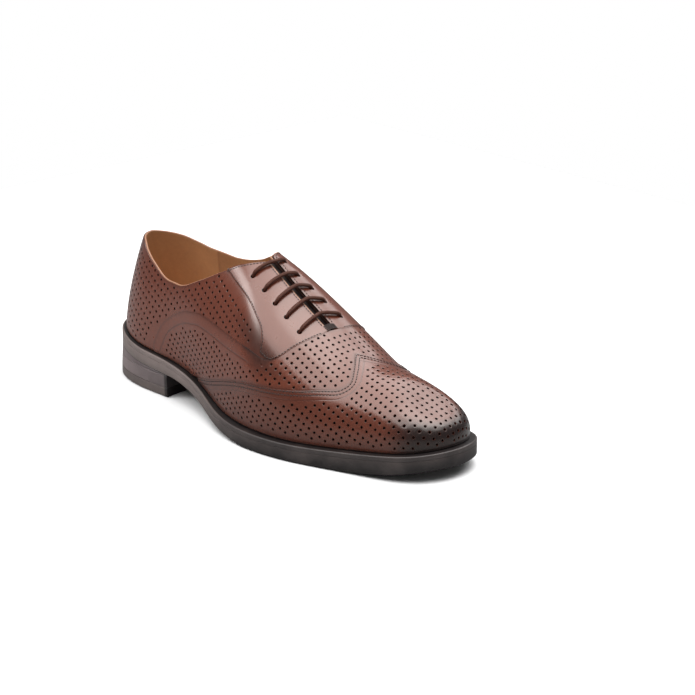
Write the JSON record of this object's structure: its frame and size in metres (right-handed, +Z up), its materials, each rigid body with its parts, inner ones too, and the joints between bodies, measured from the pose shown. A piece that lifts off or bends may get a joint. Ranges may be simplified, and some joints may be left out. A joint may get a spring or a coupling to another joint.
{
  "type": "oxford shoe",
  "caption": "Right-foot lace-up oxford with a wing-shaped toe cap, punched brown leather upper, tongue, insole, welted dark sole and stacked heel.",
  "frame": {"origin": "on the floor, under the middle of the sole's length and width", "axes": "+X from heel to toe, +Y towards the inner side of the foot, +Z up"},
  "size_m": [0.3016, 0.1046, 0.1064],
  "materials": {
    "upper_leather": "satin",
    "tongue_leather": "satin",
    "lining_leather": "matte",
    "lace_cord": "matte",
    "sole_rubber": "satin",
    "heel_rubber": "satin"
  },
  "bodies": {
    "root": {"outsole": "sole_rubber", "welt": "sole_rubber", "heel_block": "heel_rubber", "heel_top_piece": "sole_rubber", "insole": "lining_leather", "upper": "upper_leather", "tongue": "tongue_leather", "vamp": "upper_leather", "wing_cap": "upper_leather", "facing_lateral": "upper_leather", "facing_medial": "upper_leather", "lace_bar_1": "lace_cord", "lace_bar_2": "lace_cord", "lace_bar_3": "lace_cord", "lace_bar_4": "lace_cord", "lace_bar_5": "lace_cord"}
  },
  "joints": []
}
